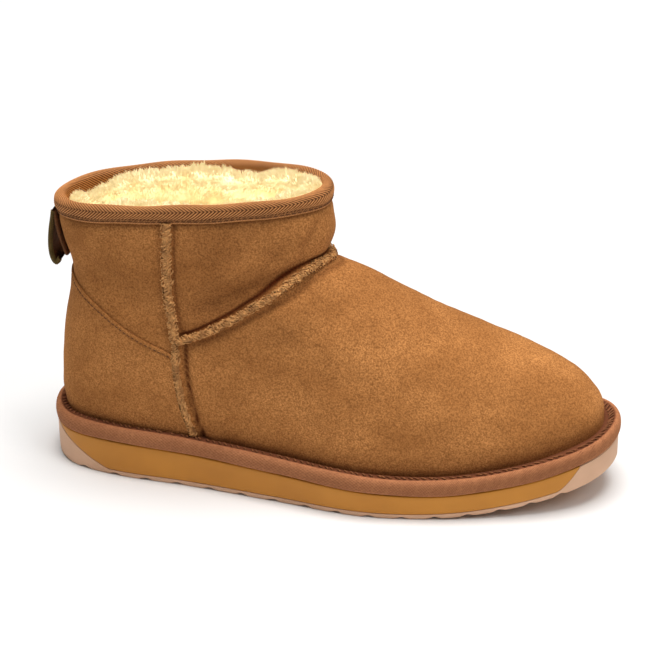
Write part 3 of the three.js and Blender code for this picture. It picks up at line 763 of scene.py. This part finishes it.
def build_seam(node, turn, level, width, height, r, taper=None):
    even, line, normal, across, tangent = along_seam(turn, level)
    size = np.ones(len(even)) if taper is None else taper(even / even[-1])
    size = size * (1 + 0.1 * lumps(line * 3, 51) + 0.06 * lumps(line * 6, 52))
    angle = np.linspace(-0.3, math.pi + 0.3, 15)[:, None]
    u = np.cos(angle) * (width / 2 * 0.8) * size[:, None, None]
    v = np.sin(angle) * (height * 0.74) * size[:, None, None]
    core = line[:, None] + across[:, None] * u + normal[:, None] * v
    count = int(even[-1] / SEAM_STITCH_PITCH)
    start = (np.arange(count)[:, None] + 0.5) * SEAM_STITCH_PITCH
    t = np.linspace(-1, 1, 5)
    bow = r.uniform(0.05, math.pi - 0.05, (count, 1)) + r.uniform(0.22, 0.5, (count, 1)) * t
    place = np.clip(start + r.normal(0.45, 0.4, (count, 1)) * t, 0, even[-1])
    index = place / SEAM_STEP
    i = np.clip(index.astype(int), 0, len(even) - 1)
    girth = size[i] * (1 + r.normal(0.02, 0.07, (count, 1)))
    path = line[i] + tangent[i] * ((index - i) * SEAM_STEP)[..., None]
    path = path + across[i] * (np.cos(bow) * width / 2 * girth)[..., None]
    path = path + normal[i] * (np.sin(bow) * height * 0.88 * girth)[..., None]
    thickness = (1 + r.normal(0, 0.2, (count, 1))).clip(0.5, 1.6)
    thread_radii = 0.34 * thickness * np.array([0.5, 1, 1.1, 1, 0.5])
    points, faces = joined([(core, grid_faces(core)), tubes(path, thread_radii, 4)])
    make(node + "_stitched", points, faces, seam_material, "seam_thread", [node])


def seam_taper(share):
    return 1.02 - 0.2 * smoothstep(share, 0.45, 0.56)


rng = np.random.default_rng(7)
seam_foot = x_at(SIDE_SEAM[0, 0])
seam_high = 1 - level_for(seam_foot, TAPE_HEIGHT - 0.5)
seam_low = level_for(seam_foot, WELT_HEIGHT - 1)
seam_levels = np.linspace(seam_high, seam_low, 400)
for seam_name, sign in (("side_seam_outer", 1), ("side_seam_inner", -1)):
    seam_turns = sign * turn_at(side_seam_at(seam_levels), seam_levels)
    build_seam(seam_name, seam_turns, seam_levels, SEAM_WIDTH, 2.2, rng, seam_taper)
instep_range = np.linspace(-INSTEP_END, INSTEP_END, 500)
build_seam("instep_seam", instep_range, instep_level(np.abs(instep_range)), 3.8, 2.3, rng)


def rib_wave(distance, pitch):
    """Height of woven ribs, 0 to 1, at a distance across them."""
    return np.abs(np.sin(math.pi * ((distance / pitch) % 1))) ** 1.2


def build_collar():
    turn = full_turn(1500)
    outer = GAP + TAPE_THICKNESS
    inner = -WALL - outer
    edge_top = TAPE_HEIGHT - TAPE_EDGE_HEIGHT
    stitch_pitch = 2.7
    # out, down: the tape's section from its lower edge outside, over the rim, to its lower edge inside
    section = np.array([
        (GAP * 0.3, TAPE_HEIGHT), (GAP + TAPE_EDGE * 0.8, TAPE_HEIGHT - 0.15),
        (GAP + TAPE_EDGE, TAPE_HEIGHT - 0.6), (GAP + TAPE_EDGE * 1.05, edge_top + 0.7),
        (GAP + TAPE_EDGE * 1.1, edge_top + 0.15), (outer * 0.72, edge_top - 0.5),
        (outer * 0.97, edge_top - 1.4), (outer, 1.6), (outer * 0.97, 0.2), (outer * 0.75, -0.9),
        (outer * 0.3, -1.6), (-0.5 * WALL, -1.85), (-WALL - 0.3 * outer, -1.6), (inner * 0.94, -0.7),
        (inner, 0.6), (inner, 3), (inner, TAPE_LAP),
    ])
    length, fine, (out, down) = section_steps(section, 62)
    step = fine[:, None]
    rim_line = rim_points(turn, 0, 0)
    around = arc_length(np.concatenate([rim_line, rim_line[:1]]))
    total = around[-1]
    around = around[:-1]
    pitch = whole_pitch(total, 1.75)
    # The flat edge ends at the section's fifth row, and the ribs turn over in the middle of the rest
    seam = length[4]
    across = step - (seam + 4.1)
    ribs = rib_wave(around - 1.35 * np.abs(across), pitch)
    flat = smoothstep(seam - step, -0.3, 0.3)
    ribs = ribs * (1 - flat) + flat * (0.5 + 0.5 * rib_wave(around + step, pitch * 0.7))
    ribs = ribs * (1 - 0.35 * bell(across, 0.3) * (1 - flat)) * (1 - 0.5 * bell(step - seam, 0.35))
    stitch_at = length[2] + 0.5
    stitch_gap = bell(step - stitch_at, 0.45)
    lift = 0.5 * (ribs - 1) * (1 - 0.75 * flat) - 0.2 * stitch_gap * rib_wave(around, stitch_pitch)
    angle = around / total * TURN
    wave = 0.25 * np.sin(angle * 5 + 1) + 0.15 * np.sin(angle * 11)
    pad = 0.22 * np.sin(angle * 9) * (1 - flat)
    points = np.stack([
        rim_points(turn, out[k], down[k] + wave * np.clip(down[k] / 4, 0, 1)) for k in range(len(fine))
    ])
    normal = grid_normals(points, 10)
    points = points + normal * (lift + pad)[..., None]
    faces = outward(points, grid_faces(points, wrap_columns=True))
    rib = ribs * (1 - 0.4 * stitch_gap)
    make("collar_tape", points, faces, tape_material, "binding_twill", ["collar_binding"], rib=rib)
    # Stitches along the middle of the flat edge
    row = int(np.argmin(np.abs(fine - stitch_at)))
    line = points[row] + normal[row] * 0.2
    line = np.concatenate([line, line[:1]])
    length = arc_length(line)
    count = int(total / stitch_pitch)
    ends = (np.arange(count)[:, None] + np.linspace(0.1, 0.75, 5)) * length[-1] / count
    make("collar_stitches", *tubes(spots(line, length, ends), 0.2, 5), dark_thread, "binding_twill")


build_collar()


# Sole
def outline(turn):
    share = (1 + np.cos(turn)) / 2
    y = np.where(np.sin(turn) >= 0, -outer_side(share), inner_side(share))
    return np.stack([x_at(share), BALL_WIDTH * y], -1)


def outline_out(turn, out):
    along = unit(outline(turn + 0.012) - outline(turn - 0.012))
    return outline(turn) + np.stack([-along[..., 1], along[..., 0]], -1) * np.asarray(out)[..., None]


def lifted(xy, z):
    return np.concatenate([xy, z[..., None]], -1)


def build_welt():
    turn = full_turn(1400)
    line = outline(turn)
    around = arc_length(np.concatenate([line, line[:1]]))
    total = around[-1]
    even = np.linspace(0, total, len(turn), endpoint=False)
    turn = np.interp(even, around, np.append(turn, TURN))
    h = WELT_HEIGHT
    # out, up: section of the roll from its lower edge to the stitched groove at the foot of the upper
    section = np.array([
        (-0.6, GAP), (0.1, GAP), (0.7, 0.14 * h), (WELT_OVERHANG, 0.32 * h), (0.95, 0.5 * h),
        (0.75, 0.68 * h), (0.2, 0.84 * h), (-0.6, 0.94 * h), (-1.5, 0.98 * h), (-2.3, 0.96 * h),
        (-3.2, 0.95 * h), (-4.1, 0.93 * h), (-4.9, 0.9 * h),
    ])
    length, fine, (out, up) = section_steps(section, 44)
    ribs = rib_wave(even + 1.5 * fine[:, None], whole_pitch(total, 1.15))
    pucker = whole_pitch(total, 3.1)
    inner_edge = smoothstep(fine, length[-1] * 0.72, length[-1] * 0.82)[:, None]
    lift = 0.28 * (ribs - 1) - 0.25 * inner_edge * rib_wave(even, pucker) ** 2
    lift = lift + 0.12 * np.sin(even / total * TURN * 14)
    xy = outline_out(turn, out[:, None])
    points = lifted(xy, sole_top(xy[..., 0]) + up[:, None])
    points = points + grid_normals(points, 15) * lift[..., None]
    foot = layer_at(turn, 0.15, lambda x: sole_top(x) + 0.88 * h)
    tuck = layer_at(turn, -1.0, lambda x: sole_top(x) + 0.8 * h)
    points = np.concatenate([points, foot[None], tuck[None]])
    # The inner slope and the two rows at the foot of the upper are darkened: painted shade in the groove
    # under the upper
    rib = np.concatenate([ribs * (1 - 0.8 * inner_edge), np.full((2, len(turn)), 0.2)])
    faces = outward(points, grid_faces(points, wrap_columns=True))
    make("welt_twill", points, faces, welt_material, "binding_twill", ["welt_binding"], rib=rib)
    # Slanting stitches in the groove between roll and upper
    count = round(total / pucker)
    t = np.linspace(0, 1, 6)
    uneven = np.random.default_rng(17).normal(0, 0.16, (2, count, 1))
    place = (np.arange(count)[:, None] + 0.15 + uneven[0] + (0.75 + uneven[1]) * t) * pucker
    xy = outline_out(np.interp(place % total, even, turn), lerp(-2.5, -4.9, t))
    z = sole_top(xy[..., 0]) + h * lerp(0.98, 0.92, t) + 0.25 * np.sin(math.pi * t)
    make("welt_stitches", *tubes(lifted(xy, z), 0.34, 6), welt_thread, "binding_twill")


build_welt()

HEEL_CUP_TOP = HEEL_X + HEEL_CUP - HEEL_CUP_SLOPE
TOE_BUMPER_TOP = TOE_X - TOE_BUMPER + TOE_BUMPER_SLOPE


def split(x):
    """Height of the boundary between outsole and midsole at the side."""
    heel = np.clip((HEEL_X + HEEL_CUP - x) / HEEL_CUP_SLOPE, 0, 1)
    toe = np.clip((x - TOE_X + TOE_BUMPER) / TOE_BUMPER_SLOPE, 0, 1)
    return lerp(ground(x) + OUTSOLE_THICKNESS, sole_top(x), np.maximum(heel ** 1.25, toe ** 1.6))


def groove_depth(x, y, edge=False):
    """Depth of the waved cross grooves, softened to scallops at the edge."""
    swing = GROOVE_SWING * np.cos(8 * math.pi * (y + BALL_WIDTH) / (2 * BALL_WIDTH))
    first = -(GROOVE_COUNT - 1) / 2 * LUG_PITCH
    nearest = np.clip(np.round((x - swing - first) / LUG_PITCH), 0, GROOVE_COUNT - 1) * LUG_PITCH + first
    off = np.abs(x - swing - nearest)
    if edge:
        return 0.62 * LUG_DEPTH * (1 - smoothstep(off, 0, GROOVE_WIDTH / 2 + 2.4))
    return LUG_DEPTH * (1 - smoothstep(off, GROOVE_WIDTH / 2 - 0.8, GROOVE_WIDTH / 2 + 0.5))


def side_of(x, taper):
    """Both sides of the sole at x, drawn in by taper."""
    share = share_at(x)
    outer = BALL_WIDTH * outer_side(share)
    inner = BALL_WIDTH * inner_side(share)
    width = outer + inner
    keep = np.maximum(width - 2 * taper, 0) / np.maximum(width, 1e-6)
    middle = (inner - outer) / 2
    return middle - width / 2 * keep, middle + width / 2 * keep


def build_outsole():
    x = -LENGTH / 2 * np.cos(np.linspace(0, math.pi, 420)) * (1 - 1e-5)
    top = split(x)
    tread_pitch = 3.2
    rows = []
    for share in np.linspace(0, 1, 72):
        y = lerp(*side_of(x, SOLE_TAPER + 0.6), share)
        edge = min(share, 1 - share)
        tread = 0.22 * np.sin(TURN * y / tread_pitch) * np.cos(TURN * x / tread_pitch) * (edge >= 0.06)
        z = ground(x) + groove_depth(x, y, edge < 0.02) + np.maximum(tread, 0)
        rows.append(np.stack([x, y, z], -1))

    def side_rows(which):
        found = []
        for lift, taper in ((0.25, SOLE_TAPER + 0.15), (0.8, SOLE_TAPER)):
            y = side_of(x, taper)[which]
            found.append(np.stack([x, y, np.minimum(ground(x) + groove_depth(x, y, True) + lift, top)], -1))
        for part in np.linspace(0.15, 1, 14):
            taper = SOLE_TAPER * (1 - part * (top - ground(x)) / (sole_top(x) - ground(x)))
            y = side_of(x, taper)[which]
            base = ground(x) + groove_depth(x, y, True) * (1 - part)
            found.append(np.stack([x, y, np.maximum(lerp(base, top, part), found[1][:, 2])], -1))
        found.append(np.stack([x, side_of(x, 6)[which], top], -1))
        return found

    points = np.stack(rows + side_rows(1) + side_rows(0)[::-1])
    for end in (0, -1):
        points[:, end, 1] = points[:, end, 1].mean()
    faces = outward(points, grid_faces(points, wrap_rows=True))
    make("outsole_rubber", points, faces, outsole_material, "outsole_rubber", ["outsole"])


def build_midsole():
    x = np.linspace(HEEL_CUP_TOP + 0.4, TOE_BUMPER_TOP - 0.4, 360)
    top = sole_top(x)
    low = np.minimum(split(x) + GAP * 0.5, top - 0.02)
    # share: of the way up the side; tuck: how far it is drawn in there
    steps = [(0, 0.35), (0.02, 0.1), (0.06, 0), (0.2, 0), (0.4, 0), (0.6, 0), (0.8, 0), (0.95, 0), (1, 0.2)]

    def wall(share, tuck, which):
        z = lerp(low, top, share)
        part = (z - ground(x)) / (top - ground(x))
        return np.stack([x, side_of(x, SOLE_TAPER * (1 - part) + tuck)[which], z], -1)

    points = np.stack([wall(*step, 1) for step in steps] + [wall(*step, 0) for step in reversed(steps)])
    faces = outward(points, grid_faces(points, wrap_rows=True))
    make("midsole_foam", points, faces, midsole_material, "midsole_foam", ["midsole"])


build_outsole()
build_midsole()


# Fleece: a lumpy sleeve with thousands of fine strands in locks
def build_strands(name, slot, path, facing, strand_nap, tips, r):
    """Flat strands through three points each. facing: where the flat sides look; tips: 0 to 1 along each."""
    count = len(path)
    wide = unit(np.cross(path[:, 2] - path[:, 0], facing + r.normal(0, 0.2, (count, 3))))
    width = r.uniform(0.1, 0.2, (count, 1)) * np.array([1, 0.8, 0.15])
    side = wide[:, None] * width[..., None]
    points = np.stack([path + side, path - side], 2).reshape(-1, 3)
    one = np.array([(0, 1, 3, 2), (2, 3, 5, 4)])
    faces = (np.arange(count)[:, None, None] * 6 + one).reshape(-1, 4)
    tip = np.repeat(np.clip(tips, 0, 1), 2, axis=1)
    nap = np.repeat(unit(strand_nap), 6, axis=0)
    piece = make(name, points, faces, fleece_material, slot, (), nap, tip=tip)
    piece.visible_shadow = False


def build_fleece():
    turn = full_turn(300)
    behind_tape = -WALL - 2 * GAP - TAPE_THICKNESS
    # out, down: the sleeve's section from behind the tape over the pile's crest
    top = [(behind_tape + 0.3, 5.5)]
    for share, down in ((0, 3.4), (0.15, 2.5), (0.35, 2.1), (0.65, 2.2), (0.9, 3.2), (1, 5.0), (0.95, 7.5)):
        top.append((behind_tape - share * PILE, down))
    # The pile lies lower at the heel and a little uneven all round
    low = 4.5 * smoothstep(-np.cos(turn), 0.5, 1) + np.sin(5 * turn + 1.2) + 0.9 * np.sin(9 * turn)
    rows = [rim_points(turn, out, down + low) for out, down in top]
    for level in np.concatenate([np.linspace(0.92, 0.3, 50), np.linspace(0.28, 0.08, 14)]):
        rows.append(surface(turn, level, -WALL - GAP - PILE, plain=True))
    points = np.stack(rows)
    field = lumps(points, 3)
    normal = grid_normals(points, 30, -1)
    row = np.arange(len(rows))[:, None]
    points = points + normal * (1.5 * field * np.clip(row / 4, 0, 1))[..., None]
    # Painted highlight on the pile's top rows
    rim_highlight = 0.35 * (1 - smoothstep(row, 5, 13))
    # tip: lighter strand tips, plus painted light on the lumps' bulges and painted shade in their hollows
    tip = np.clip(0.25 + 0.35 * field + rim_highlight, 0, 1)
    nap = unit(0.55 * normal + (0, 0, 0.85))
    faces = grid_faces(points, wrap_columns=True)
    sleeve = make("fleece_sleeve", points, faces, fleece_material, "fleece", ["fleece_lining"], nap, tip=tip)
    sleeve.visible_shadow = False
    # Strands whose ends lean together, each towards the end of the lock it stands closest to
    r = np.random.default_rng(11)
    count, locks = 44000, 2600
    row = np.minimum(r.exponential(7.5, count) + 0.6, len(rows) - 3)
    column = r.uniform(0, len(turn), count)
    i, j = row.astype(int), column.astype(int)
    root = points[i, j] + (points[i + 1, j] - points[i, j]) * (row - i)[:, None]
    root = root + (points[i, (j + 1) % len(turn)] - points[i, j]) * (column - j)[:, None]
    n = normal[i, j]
    tree = KDTree(locks)
    for k in range(locks):
        tree.insert(root[k], k)
    tree.balance()
    mine = np.array([tree.find(spot)[1] for spot in root])
    sway = np.stack([lumps(root[:locks], seed) for seed in (31, 32, 33)], -1)
    lock_end = n[:locks] * (1.9 + 0.6 * r.normal(size=(locks, 1))).clip(0.8, 3.2)
    lock_end = root[:locks] + lock_end + 1.1 * sway + r.normal(0, 0.7, (locks, 3)) + (0, 0, 0.3)
    own = root + n * r.uniform(1.2, 3.2, (count, 1)) + r.normal(0, 0.7, (count, 3)) + (0, 0, 0.6)
    end = lerp(own, lock_end[mine], 0.42)
    middle = lerp(root, end, 0.5) + n * 0.7 + r.normal(0, 0.25, (count, 3))
    path = np.stack([root - n * 0.4, middle, end], 1)
    # The same painted light and shade carried onto the strands
    tips = np.array([0.1, 0.25, 0.4]) + (0.25 * field + rim_highlight)[i, j][:, None]
    strand_nap = nap[i, j] + 0.5 * (lock_end[mine] - root[mine]) / 3 + r.normal(0, 0.12, (count, 3))
    build_strands("fleece_tufts", "fleece", path, nap[i, j], strand_nap, tips, r)


def build_insole():
    turn = full_turn(160)
    edge_height = GAP + INSOLE_THICKNESS - 0.6
    rim_row = layer_at(turn, -WALL - GAP, lambda x: sole_top(x) + edge_height, plain=True)
    low_row = layer_at(turn, -WALL - GAP, lambda x: sole_top(x) + GAP, plain=True)
    rows = [low_row, rim_row]
    x, y, _ = rim_row.T
    for share in np.linspace(0.97, 0.02, 26):
        z = sole_top(x) + edge_height + 0.6 * (1 - share ** 4)
        rows.append(np.stack([x, lerp(ridge(x), y, share), z], -1))
    points = np.stack(rows)
    points[2:, :, 2] += 0.25 * np.clip(lumps(points[2:], 5), -1, 0.8)
    tip = np.clip(0.4 + 0.25 * lumps(points, 6), 0, 1)
    faces = outward(points, grid_faces(points, wrap_columns=True))
    up = np.array([0, 0, 1])
    nap = np.broadcast_to(up, points.shape)
    pad = make("insole_pile", points, faces, fleece_material, "insole_pile", ["insole"], nap, tip=tip)
    # Short pile lying on the pad, evenly over its area
    r = np.random.default_rng(23)
    count = 8500
    row = 27 - 24.75 * r.uniform(0, 1, count) ** 0.5
    column = r.integers(0, len(turn), count)
    i = row.astype(int).clip(2, len(rows) - 2)
    root = lerp(points[i, column], points[i + 1, (column + 1) % len(turn)], r.uniform(0, 1, (count, 1)))
    sway = np.stack([lumps(root, seed) for seed in (61, 62)], -1)
    end = root + np.concatenate([1.3 * sway, np.full((count, 1), 0.9)], -1) + r.normal(0, 0.5, (count, 3))
    path = np.stack([root - (0, 0, 0.3), lerp(root, end, 0.5) + (0, 0, 0.4), end], 1)
    tips = np.array([0.2, 0.4, 0.6]) + 0.25 * lumps(root, 6)[:, None]
    build_strands("insole_tufts", "insole_pile", path, up, up + r.normal(0, 0.15, (count, 3)), tips, r)


build_fleece()
build_insole()


# Pull loop: a strap that leaves the tape, turns round at the bottom and goes back into the counter's edge
# down: share of LOOP_DROP; out: share of the way the strap stands off
LOOP = np.array([
    (0, 0.0), (0.12, 0.22), (0.3, 0.62), (0.5, 0.92), (0.68, 1.0), (0.84, 0.8), (0.95, 0.3), (1, -0.4),
    (0.97, -1.05), (0.9, -1.6),
])


def build_loop():
    steps = 90
    u = np.linspace(0, 1, steps)
    down, out = (through(np.linspace(0, 1, len(LOOP)), column)(u) for column in LOOP.T)
    top_x, _, top_z = rim_points(np.array([math.pi]), 0, TAPE_HEIGHT + GAP)[0]
    x = top_x - 2 * GAP - 1.15 * LOOP_THICKNESS - out * (LOOP_REACH - LOOP_THICKNESS - 1.2)
    outside = np.stack([x, top_z - down * LOOP_DROP], -1)
    tangent = unit(np.gradient(outside, axis=0))
    inner = outside + np.stack([-tangent[:, 1], tangent[:, 0]], -1) * LOOP_THICKNESS
    half = LOOP_WIDTH / 2
    # y, depth: the strap's section, 0 on its outer face and 1 on its inner face
    section = [
        (-half + 0.3, 0.1), (-half, 0.5), (-half + 0.3, 0.9), (-half + 2, 1), (half - 2, 1),
        (half - 0.3, 0.9), (half, 0.5), (half - 0.3, 0.1), (half - 2, 0), (-half + 2, 0),
    ]
    # The free half, and the half that lies against the boot
    wall = rim_points(np.full(steps, math.pi), 0, TAPE_HEIGHT + GAP + LOOP_DROP * 0.84 * u)
    free, lying = [], []
    for y, depth in section:
        xz = lerp(outside, inner, depth)
        free.append(np.stack([xz[:, 0], np.full(steps, y), xz[:, 1]], -1))
        x = wall[:, 0] - GAP - LOOP_THICKNESS * (1 - depth)
        lying.append(np.stack([x, np.full(steps, y * 0.96), wall[:, 2]], -1))
    halves = [np.stack(free), np.stack(lying)]
    points, faces = joined([(part, outward(part, grid_faces(part, wrap_rows=True))) for part in halves])
    shade = np.zeros(len(points))
    make("loop_strap", points, faces, loop_material, "loop_webbing", ["pull_loop"], shade=shade)
    # Bound edges: close slanting stitches along both edges
    length = arc_length(outside)
    count = int(length[-1] / 0.9)
    t = np.linspace(-0.2, math.pi + 0.2, 7)
    place = (np.arange(count) + 0.5)[:, None] * length[-1] / count + np.linspace(-0.35, 0.35, len(t))
    through_strap = spots((outside - inner) / LOOP_THICKNESS, length, place)
    xz = spots(lerp(outside, inner, 0.5), length, place)
    xz = xz + through_strap * (np.cos(t) * (LOOP_THICKNESS / 2 + 0.1))[:, None]
    parts = []
    for sign in (-1, 1):
        y = np.broadcast_to(sign * (half - 1.2 + 1.3 * np.sin(t)), (count, len(t)))
        parts.append(tubes(np.stack([xz[..., 0], y, xz[..., 1]], -1), 0.36, 6))
    make("loop_stitches", *joined(parts), loop_edge_material, "loop_webbing")


build_loop()

# Floor, light and camera, in metres
floor_mesh = bpy.data.meshes.new("floor")
floor_mesh.from_pydata([(-4, -4, 0), (4, -4, 0), (4, 4, 0), (-4, 4, 0)], [], [(0, 1, 2, 3)])
floor = placed("floor", floor_mesh)
floor_nodes = Nodes("floor_white", roughness=0.6, specular=0.1)
floor_mesh.materials.append(floor_nodes.done(colour(226, 226, 226)))

MIDDLE = Vector((0, 0, 0.06))
LIGHTS = [
    # name, place, size, power, tint
    ("top", (0.3, 0.1, 5.0), 3.8, 357, (1, 0.985, 0.965)),
    ("key", (1.2, -0.7, 1.6), 0.9, 9.5, (1, 0.98, 0.95)),
    ("fill", (-1.3, -1.0, 0.7), 1.2, 2, (0.98, 0.99, 1)),
]
for name, place, size, power, tint in LIGHTS:
    light = bpy.data.lights.new(name, "AREA")
    light.shape = "DISK"
    light.size = size
    light.energy = power
    light.color = tint
    lamp = placed(name, light)
    lamp.location = place
    lamp.rotation_euler = (MIDDLE - Vector(place)).to_track_quat("-Z", "Y").to_euler()
world = bpy.data.worlds.new("studio")
world.use_nodes = True
background = world.node_tree.nodes["Background"].inputs
background["Color"].default_value = (0.82, 0.91, 1, 1)
background["Strength"].default_value = 0.1
scene = bpy.context.scene
scene.world = world
scene.view_settings.view_transform = "Standard"

# The camera as fitted to the photo, with focal length and shift in pixels
AZIMUTH = math.radians(10)
ELEVATION = math.radians(26)
DISTANCE = 1.127
PICTURE_WIDTH = 665
FOCAL_LENGTH = 2415
SHIFT_X = -1.5
SHIFT_Y = 14.1
SENSOR_WIDTH = 36
back = Vector((
    math.sin(AZIMUTH) * math.cos(ELEVATION), -math.cos(AZIMUTH) * math.cos(ELEVATION), math.sin(ELEVATION),
))
camera_data = bpy.data.cameras.new("camera")
camera_data.lens = SENSOR_WIDTH * FOCAL_LENGTH / PICTURE_WIDTH
camera_data.sensor_width = SENSOR_WIDTH
camera_data.shift_x = SHIFT_X / PICTURE_WIDTH
camera_data.shift_y = SHIFT_Y / PICTURE_WIDTH
camera_data.clip_start = 0.01
camera = placed("camera", camera_data)
camera.location = MIDDLE + back * DISTANCE
camera.rotation_euler = (-back).to_track_quat("-Z", "Y").to_euler()
scene.camera = camera
